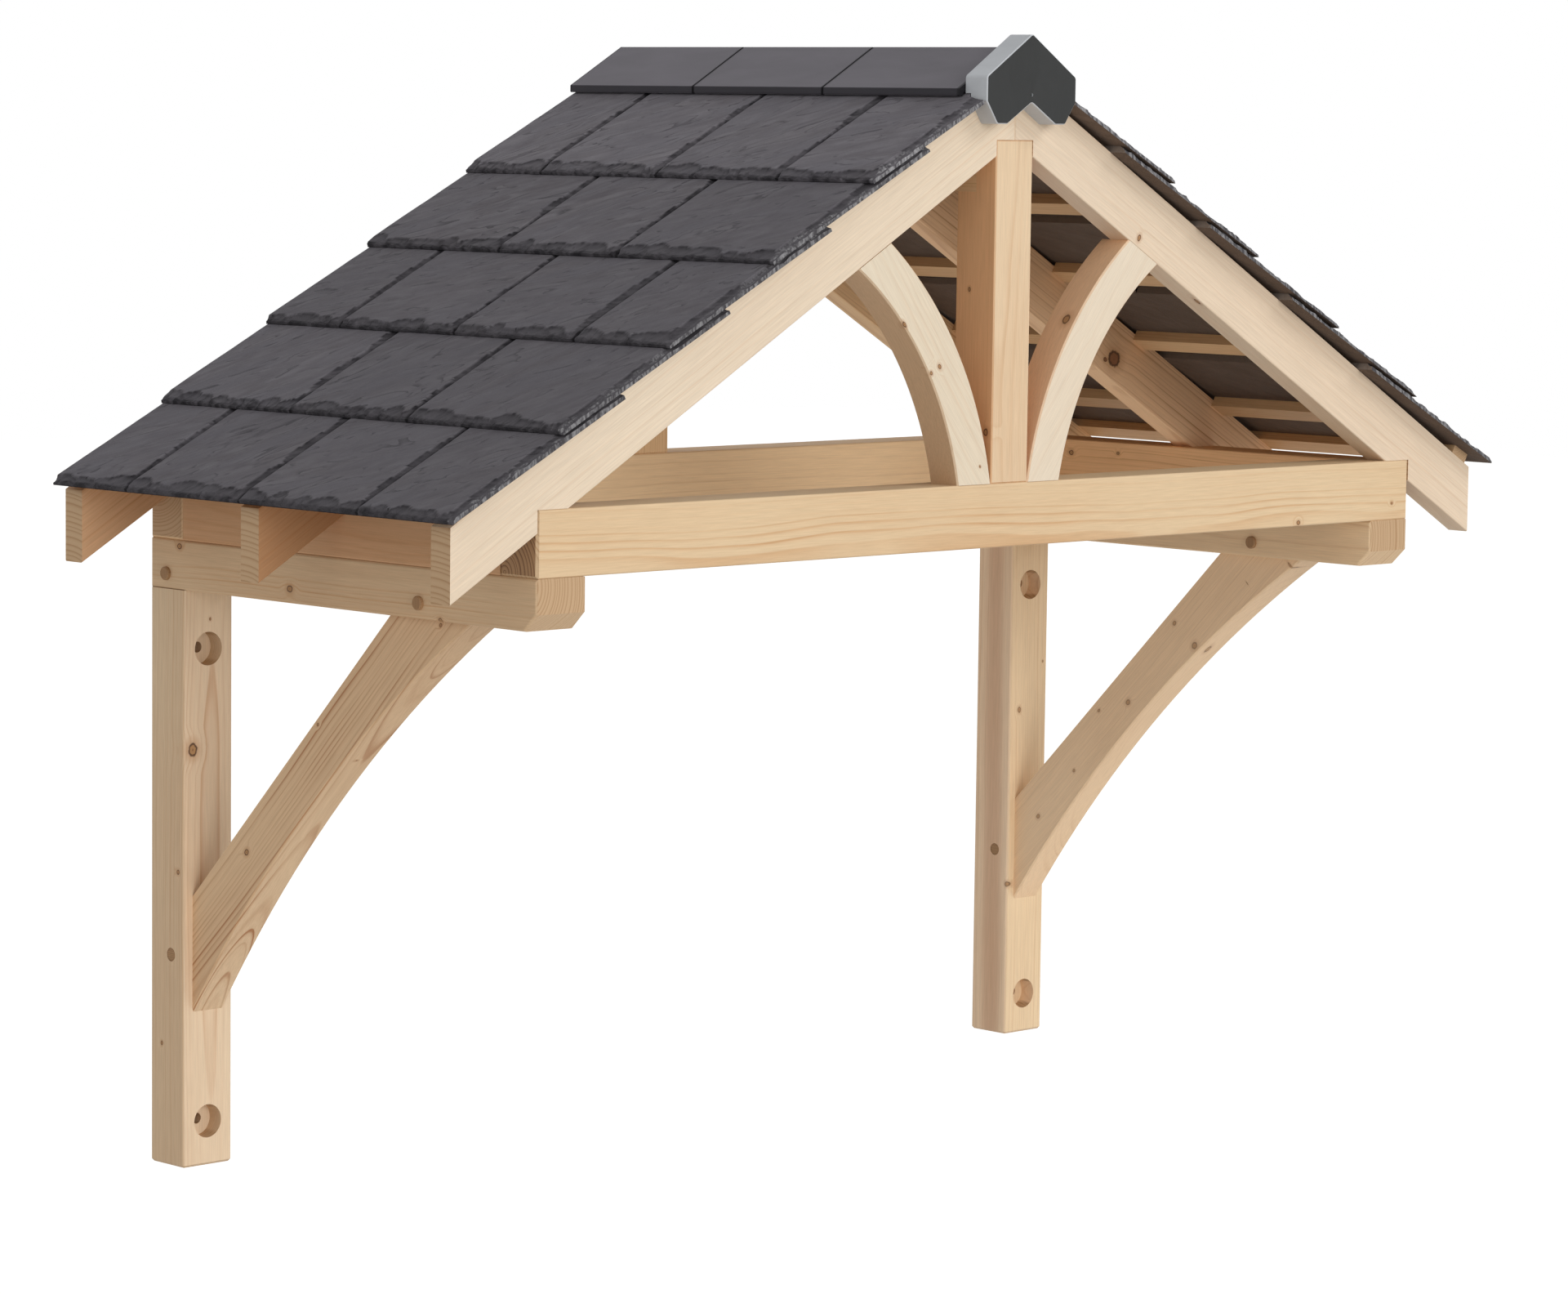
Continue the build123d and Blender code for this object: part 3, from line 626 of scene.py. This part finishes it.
def dress(slate, wide, chance, tone, verge):
    """Scars a slate along its tail and front edge, ripples its face, and
    notes how dark each place is painted, in part as broken stone and in part
    as painted shade."""
    # The tail has wide scallops, the front edge long leaves, and both have
    # smaller flakes on the brink. The back edge is only eased.
    tail = (scars(chance, wide, apart=0.044, half=(0.018, 0.046),
                  reach=(0.014, TAIL_REACH), deep=(0.0035, 0.0065))
            + scars(chance, wide, apart=0.018, half=(0.007, 0.017),
                    reach=(0.007, 0.015), deep=(0.006, 0.009)))
    front = (scars(chance, SLATE_LONG, apart=0.070, half=(0.035, 0.090),
                   reach=(0.010, FRONT_REACH), deep=(0.004, 0.007))
             + scars(chance, SLATE_LONG, apart=0.030, half=(0.014, 0.034),
                     reach=(0.006, 0.013), deep=(0.005, 0.0075)))
    groups = {kind: slate.vertex_groups.new(name=kind) for kind in ("edge", "front", "face")}
    chip_tone_and_shade_values = []
    shade = tone * chance.uniform(0.94, 1.06)
    for point in slate.data.vertices:
        x, y, z = point.co
        high = z / SLATE_THICK
        to_tail = SLATE_LONG - x
        # The deeper of a scar and the dressed brink, each with its darkness, which is in part
        # painted shade.
        lost = (0.0, 0.0)
        if to_tail < TAIL_REACH:
            lost = max(bite(tail, y, to_tail, 0.4), (TAIL_BRINK - 0.6 * to_tail, 0.7))
        if y < FRONT_REACH:
            lost = max(lost, bite(front, x, y, 0.7), (FRONT_BRINK - 0.7 * y, 0.8))
        depth, dark = max(lost, (BACK_BRINK - 0.5 * (wide - y), 0.4))
        depth = min(depth, DEEPEST)
        # Along the joints the slate is painted black, along the lips near black, and at the
        # verge only half dark: painted shade.
        if verge and y < FRONT_LIP:
            dark = 0.45
        elif y < JOINT_LIP:
            dark = 1.0
        elif to_tail < TAIL_LIP or y < FRONT_LIP:
            dark = 0.88
        groups["edge"].add([point.index], depth / SLATE_THICK * high, "REPLACE")
        groups["front"].add([point.index], max(0.0, 1 - y / RAGGED) * high, "REPLACE")
        groups["face"].add([point.index], float(depth <= 0 and high > 0.9), "REPLACE")
        # At the foot of the rim only the tail and the front edge are painted black: a painted
        # shadow under them.
        if high < 0.1:
            dark = float(min(to_tail, y) < 0.001)
        elif depth <= 0:
            dark = 0.0
        chip_tone_and_shade_values.append(dark)
    for kept, values in (("chip_tone_and_shade", chip_tone_and_shade_values), ("tone", [shade] * len(chip_tone_and_shade_values))):
        slate.data.attributes.new(kept, "FLOAT", "POINT").data.foreach_set(
            "value", values)

    lie.location = (chance.uniform(-3, 3), chance.uniform(-3, 3), 0)
    lie.rotation_euler = (0, 0, chance.uniform(0.3, 0.9))
    bpy.context.view_layer.update()
    # The scars sink, small flakes roughen them and the brinks, and ripples
    # raise and lower the face.
    for axis, texture, group, strength, mid in (
            ("Z", None, "edge", -SLATE_THICK, 0.0),
            ("Z", flecks, "edge", -0.0022, 0.0),
            ("X", flecks, "edge", -0.0040, 0.0),
            ("Y", flecks, "front", 0.0030, 0.0),
            ("Z", split, "face", 0.0014, 0.5)):
        dent = slate.modifiers.new("dent", "DISPLACE")
        dent.direction, dent.vertex_group = axis, group
        dent.strength, dent.mid_level = strength, mid
        if texture:
            dent.texture = texture
            dent.texture_coords = "OBJECT"
            dent.texture_coords_object = lie
        bpy.ops.object.modifier_apply(modifier=dent.name)


def copied(piece, name):
    """A copy with its own mesh, the only piece selected."""
    twin = piece.copy()
    twin.data = piece.data.copy()
    twin.name = twin.data.name = name
    bpy.context.collection.objects.link(twin)
    bpy.ops.object.select_all(action="DESELECT")
    twin.select_set(True)
    bpy.context.view_layer.objects.active = twin
    return twin


# Heads are measured down the slope from the apex. Joints are staggered by half
# a slate, and the verge slate of the top course is cut away round the end cap.
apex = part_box("front_right_rafter")[1].z
tail_1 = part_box("front_right_rafter")[1].x / math.cos(PITCH) + SLATE_OUT
cap_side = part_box("ridge_end_cap")[1].x + CAP_CLEAR
cap_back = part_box("front_right_rafter")[0].y + CAP_CLEAR
for course in range(1, COURSES + 1):
    joints = [0.0]
    y = -FIRST_WIDE if course % 2 else -FIRST_WIDE - SLATE_WIDE / 2
    while y > VERGE + SLATE_WIDE / 2:
        joints.append(y)
        y -= SLATE_WIDE
    joints.append(VERGE)
    head = tail_1 - (course - 1) * GAUGE - SLATE_LONG * math.cos(LAP_TILT)
    x, z = head * math.cos(PITCH), apex - head * math.sin(PITCH)
    # The top course is drawn a quarter lighter than the rest: painted light on the row nearest
    # the ridge.
    tone = 1.25 if course == COURSES else 1.0
    made = []
    for number, (back, front) in enumerate(zip(joints, joints[1:])):
        back -= GAP / 2 if number else 0
        front += GAP / 2 if front > VERGE else 0
        corner = None
        if x < cap_side and front == VERGE:
            corner = ((cap_side - x) / math.cos(PITCH - LAP_TILT), cap_back - VERGE)
        one = slate_sheet(f"slate_{course}_{number}", back - front, corner)
        dress(one, back - front, Random(course * 10 + number), tone, front == VERGE)
        one.matrix_world = (Matrix.Translation((x, front, z))
                            @ Matrix.Rotation(PITCH - LAP_TILT, 4, "Y"))
        made.append(one)
    bpy.ops.object.select_all(action="DESELECT")
    for one in made:
        one.select_set(True)
    bpy.context.view_layer.objects.active = made[0]
    bpy.ops.object.transform_apply(location=True, rotation=True, scale=True)
    bpy.ops.object.join()
    right = bpy.context.object
    right.name = right.data.name = f"riven_slates_right_{course}"
    right.data.materials.append(slate_finish)
    bpy.ops.object.shade_flat()
    # The other slope's course is its mirror image.
    left = copied(right, f"riven_slates_left_{course}")
    left.scale = (-1, 1, 1)
    bpy.ops.object.transform_apply(location=True, rotation=True, scale=True)
    bpy.ops.object.mode_set(mode="EDIT")
    bpy.ops.mesh.select_all(action="SELECT")
    bpy.ops.mesh.normals_make_consistent(inside=False)
    bpy.ops.object.mode_set(mode="OBJECT")
    bpy.ops.object.select_all(action="DESELECT")
    for piece, side in ((right, "right"), (left, "left")):
        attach(piece, "root")
        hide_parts(f"{side}_slates_{course}")
bpy.data.objects.remove(lie)

# ------------------------------------------------------------ ridge tiles
# Three moulded slate-effect ridge tiles, laid end to end over the apex with
# narrow joints, and with a rolled lip along both lower edges.
RIDGE_TILES = 3
RIDGE_JOINT = 0.003


def moulded_tile(name, face, rim, shown_by, low, high, rough=0.6, pitch=0.0):
    """Filled plastic, moulded: satin, with shallow ripples. Faces that point
    along one axis take the face colour, and the rest take the rim's: painted
    light and shade for how the lamps fall on them. Where a joint comes every
    pitch along the ridge, the ends beside it are darker, painted shade in the
    joint."""
    tile = bpy.data.materials.new(name)
    tile.use_nodes = True
    tree = tile.node_tree
    tree.nodes.clear()
    texture = add(tree, "TexCoord")
    place = texture.outputs["Object"]
    # The mould's ripples are about 40 by 140 mm, and its grain is finer than a
    # millimetre, drawn 2.4 mm across so that it shows.
    turned = add(tree, "Mapping", {"Vector": place, "Rotation": (0.0, 0.0, 0.35),
                                   "Scale": (26.0, 7.0, 14.0)}).outputs["Vector"]
    ripple = add(tree, "TexNoise", {"Vector": turned, "Scale": 1.0, "Detail": 3.0,
                                    "Roughness": 0.5, "Distortion": 0.5}).outputs["Fac"]
    grain = add(tree, "TexNoise", {"Vector": place, "Scale": 420.0, "Detail": 2.0}
                ).outputs["Fac"]
    level = add(tree, "MapRange", {"Value": ripple, "From Min": 0.3, "From Max": 0.7,
                                   "To Min": 0.92, "To Max": 1.06}).outputs["Result"]
    way = add(tree, "SeparateXYZ", {0: texture.outputs["Normal"]}).outputs[shown_by]
    way = add(tree, "Math", {0: way}, operation="ABSOLUTE").outputs["Value"]
    way = add(tree, "MapRange", {"Value": way, "From Min": low, "From Max": high}
              ).outputs["Result"]
    colour = add(tree, "Mix", {0: way, 6: linear(rim), 7: linear(face)},
                 data_type="RGBA").outputs[2]
    colour = add(tree, "VectorMath", {0: colour, 1: level},
                 operation="MULTIPLY").outputs["Vector"]
    # Beside each joint the tile ends are painted near black: painted shade in the joint.
    if pitch:
        joint = add(tree, "SeparateXYZ", {0: place}).outputs["Y"]
        joint = add(tree, "Math", {0: joint, 1: RIDGE_JOINT / 2}, operation="SUBTRACT"
                    ).outputs["Value"]
        joint = add(tree, "Math", {0: joint, 1: pitch / 2}, operation="PINGPONG"
                    ).outputs["Value"]
        joint = add(tree, "MapRange", {"Value": joint, "From Min": RIDGE_JOINT / 2,
                                       "From Max": RIDGE_JOINT / 2 + 0.004,
                                       "To Min": 0.92,
                                       "To Max": 0.0}).outputs["Result"]
        colour = add(tree, "Mix", {0: joint, 6: colour, 7: linear("#18171A")},
                     data_type="RGBA").outputs[2]
    height = add(tree, "Math", {0: grain, 1: 0.12, 2: ripple},
                 operation="MULTIPLY_ADD").outputs["Value"]
    bump = add(tree, "Bump", {"Height": height, "Strength": 0.5, "Distance": 0.0016}
               ).outputs["Normal"]
    skin = add(tree, "BsdfPrincipled", {"Base Color": colour, "Roughness": rough,
                                        "Normal": bump, "IOR": 1.45,
                                        "Specular IOR Level": 0.2})
    add(tree, "OutputMaterial", {"Surface": skin.outputs["BSDF"]})
    return tile


tiles_low, tiles_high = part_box("ridge_tiles")
tile_long = (tiles_high.y - tiles_low.y) / RIDGE_TILES
# Its lips are painted darker than its top: painted shade on faces turned from the lamps.
finish_with("ridge_tiles", moulded_tile("moulded_ridge_tile", "#6D6A70", "#38363B",
                                        "Z", 0.5, 0.8, pitch=tile_long))

# Under each joint a strip of soft rubber, folded over the apex, keeps the
# rain and the light out.
rubber = moulded_tile("soft_rubber_strip", "#201F21", "#18171A", "Z", 0.5, 0.8, 0.7)
STRIP_HALF = 0.100      # from the apex to each of its edges, level
STRIP_WIDE = 0.030      # along the ridge
STRIP_THICK = 0.002
UNDER_TILE = 0.0126     # the strip's fold, below the top of the tiles
fold = STRIP_HALF * math.tan(PITCH)
bpy.ops.mesh.primitive_grid_add(
    x_subdivisions=2, y_subdivisions=2, size=1,
    location=(0, RIDGE_JOINT / 2 - tile_long, tiles_high.z - UNDER_TILE - fold))
strip = bpy.context.object
strip.name = strip.data.name = "ridge_joint_strip_1"
strip.scale = (2 * STRIP_HALF, STRIP_WIDE, 1)
bpy.ops.object.transform_apply(location=True, rotation=True, scale=True)
bpy.ops.object.mode_set(mode="EDIT")
bpy.ops.mesh.select_mode(type="VERT")
bpy.ops.mesh.select_all(action="DESELECT")
bpy.ops.object.mode_set(mode="OBJECT")
for point in strip.data.vertices:
    point.select = abs(point.co.x) < 0.001
bpy.ops.object.mode_set(mode="EDIT")
bpy.ops.transform.translate(value=(0, 0, fold))
bpy.ops.mesh.select_all(action="SELECT")
bpy.ops.mesh.normals_make_consistent(inside=False)
bpy.ops.object.mode_set(mode="OBJECT")
thick = strip.modifiers.new("thick", "SOLIDIFY")
thick.thickness, thick.offset = STRIP_THICK, -1
bpy.ops.object.modifier_apply(modifier=thick.name)
eased = strip.modifiers.new("eased", "BEVEL")
eased.width, eased.segments = STRIP_THICK / 4, 2
bpy.ops.object.modifier_apply(modifier=eased.name)
strip.data.materials.append(rubber)
other = copied(strip, "ridge_joint_strip_2")
bpy.ops.transform.translate(value=(0, -tile_long, 0))
bpy.ops.object.transform_apply(location=True, rotation=True, scale=True)
bpy.ops.object.select_all(action="DESELECT")
for piece in (strip, other):
    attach(piece, "root")

# ---------------------------------------------------------------- end cap
# A moulded cap closes the front of the ridge: a shallow hood with a smooth dark
# front plate, walls painted pale as painted light, and two legs that stand on the rafters.
finish_with("ridge_end_cap", moulded_tile("moulded_end_cap", "#353636", "#C6C9CD",
                                          "Y", 0.75, 0.92, 0.5))

# -------------------------------------------- floor, light and the camera
# A pale floor at door height below the ties, white light all round, a large
# soft lamp high on the right in front, a low one in front that reaches in
# under the roof, and a weak one from the left.
FLOOR_DROP = 2.25
bpy.ops.mesh.primitive_plane_add(size=60, location=(0, 0, -FLOOR_DROP))
floor = bpy.context.object
floor.name = "floor"
pale_floor = bpy.data.materials.new("pale_floor")
pale_floor.use_nodes = True
tree = pale_floor.node_tree
tree.nodes.clear()
# It looks near white from the camera and keeps the canopy's shadow.
lit = add(tree, "BsdfDiffuse", {"Color": linear("#E8E6E3")})
glow = add(tree, "Emission", {"Color": (1, 1, 1, 1), "Strength": 0.55})
seen = add(tree, "AddShader", {0: lit.outputs["BSDF"], 1: glow.outputs["Emission"]})
path = add(tree, "LightPath")
direct = add(tree, "Math", {0: path.outputs["Is Camera Ray"],
                            1: path.outputs["Is Glossy Ray"]}, operation="MAXIMUM")
mix = add(tree, "MixShader", {0: direct.outputs["Value"], 1: lit.outputs["BSDF"],
                              2: seen.outputs["Shader"]})
add(tree, "OutputMaterial", {"Surface": mix.outputs["Shader"]})
floor.data.materials.append(pale_floor)

# The camera sees white all round, and the canopy is lit by less than half of it.
world = bpy.data.worlds.new("studio")
bpy.context.scene.world = world
world.use_nodes = True
tree = world.node_tree
tree.nodes.clear()
path = add(tree, "LightPath")
shown = add(tree, "Math", {0: path.outputs["Is Camera Ray"],
                           1: path.outputs["Is Glossy Ray"]}, operation="MAXIMUM")
shown = add(tree, "Math", {0: shown.outputs["Value"],
                           1: path.outputs["Is Transmission Ray"]}, operation="MAXIMUM")
strength = add(tree, "MapRange", {"Value": shown.outputs["Value"], "To Min": 0.42,
                                  "To Max": 1.0})
sky = add(tree, "Background", {"Color": (1, 1, 1, 1),
                               "Strength": strength.outputs["Result"]})
add(tree, "OutputWorld", {"Surface": sky.outputs["Background"]})

# Each lamp's tip from straight down, its swing to the right of the front, its
# strength, and how wide it looks.
for name, tip, swing, energy, spread in (
        ("key", 56, 38, 0.76, 28), ("low", 80, -8, 1.15, 30), ("side", 76, -72, 0.32, 50)):
    bpy.ops.object.light_add(type="SUN", rotation=(math.radians(tip), 0,
                                                   math.radians(swing)))
    lamp = bpy.context.object
    lamp.name = name
    lamp.data.energy, lamp.data.angle = energy, math.radians(spread)

# The camera stands to the left in front, a little above the ties, and looks
# slightly down, through a long lens on a 36 mm sensor.
CAMERA_PLACE = (-6.1489, -6.7822, 0.6486)
TURNED, LOOKS_DOWN, ROLLED = -44.056, 5.864, 0.7406
bpy.ops.object.camera_add()
camera = bpy.context.object
camera.name = "camera"
camera.data.sensor_width, camera.data.lens = 36, 119.73
camera.data.clip_end = 100
camera.matrix_world = (Matrix.Translation(CAMERA_PLACE)
                       @ Matrix.Rotation(math.radians(TURNED), 4, "Z")
                       @ Matrix.Rotation(math.radians(90 - LOOKS_DOWN), 4, "X")
                       @ Matrix.Rotation(math.radians(ROLLED), 4, "Z"))
bpy.context.scene.camera = camera
bpy.context.scene.view_settings.view_transform = "Standard"
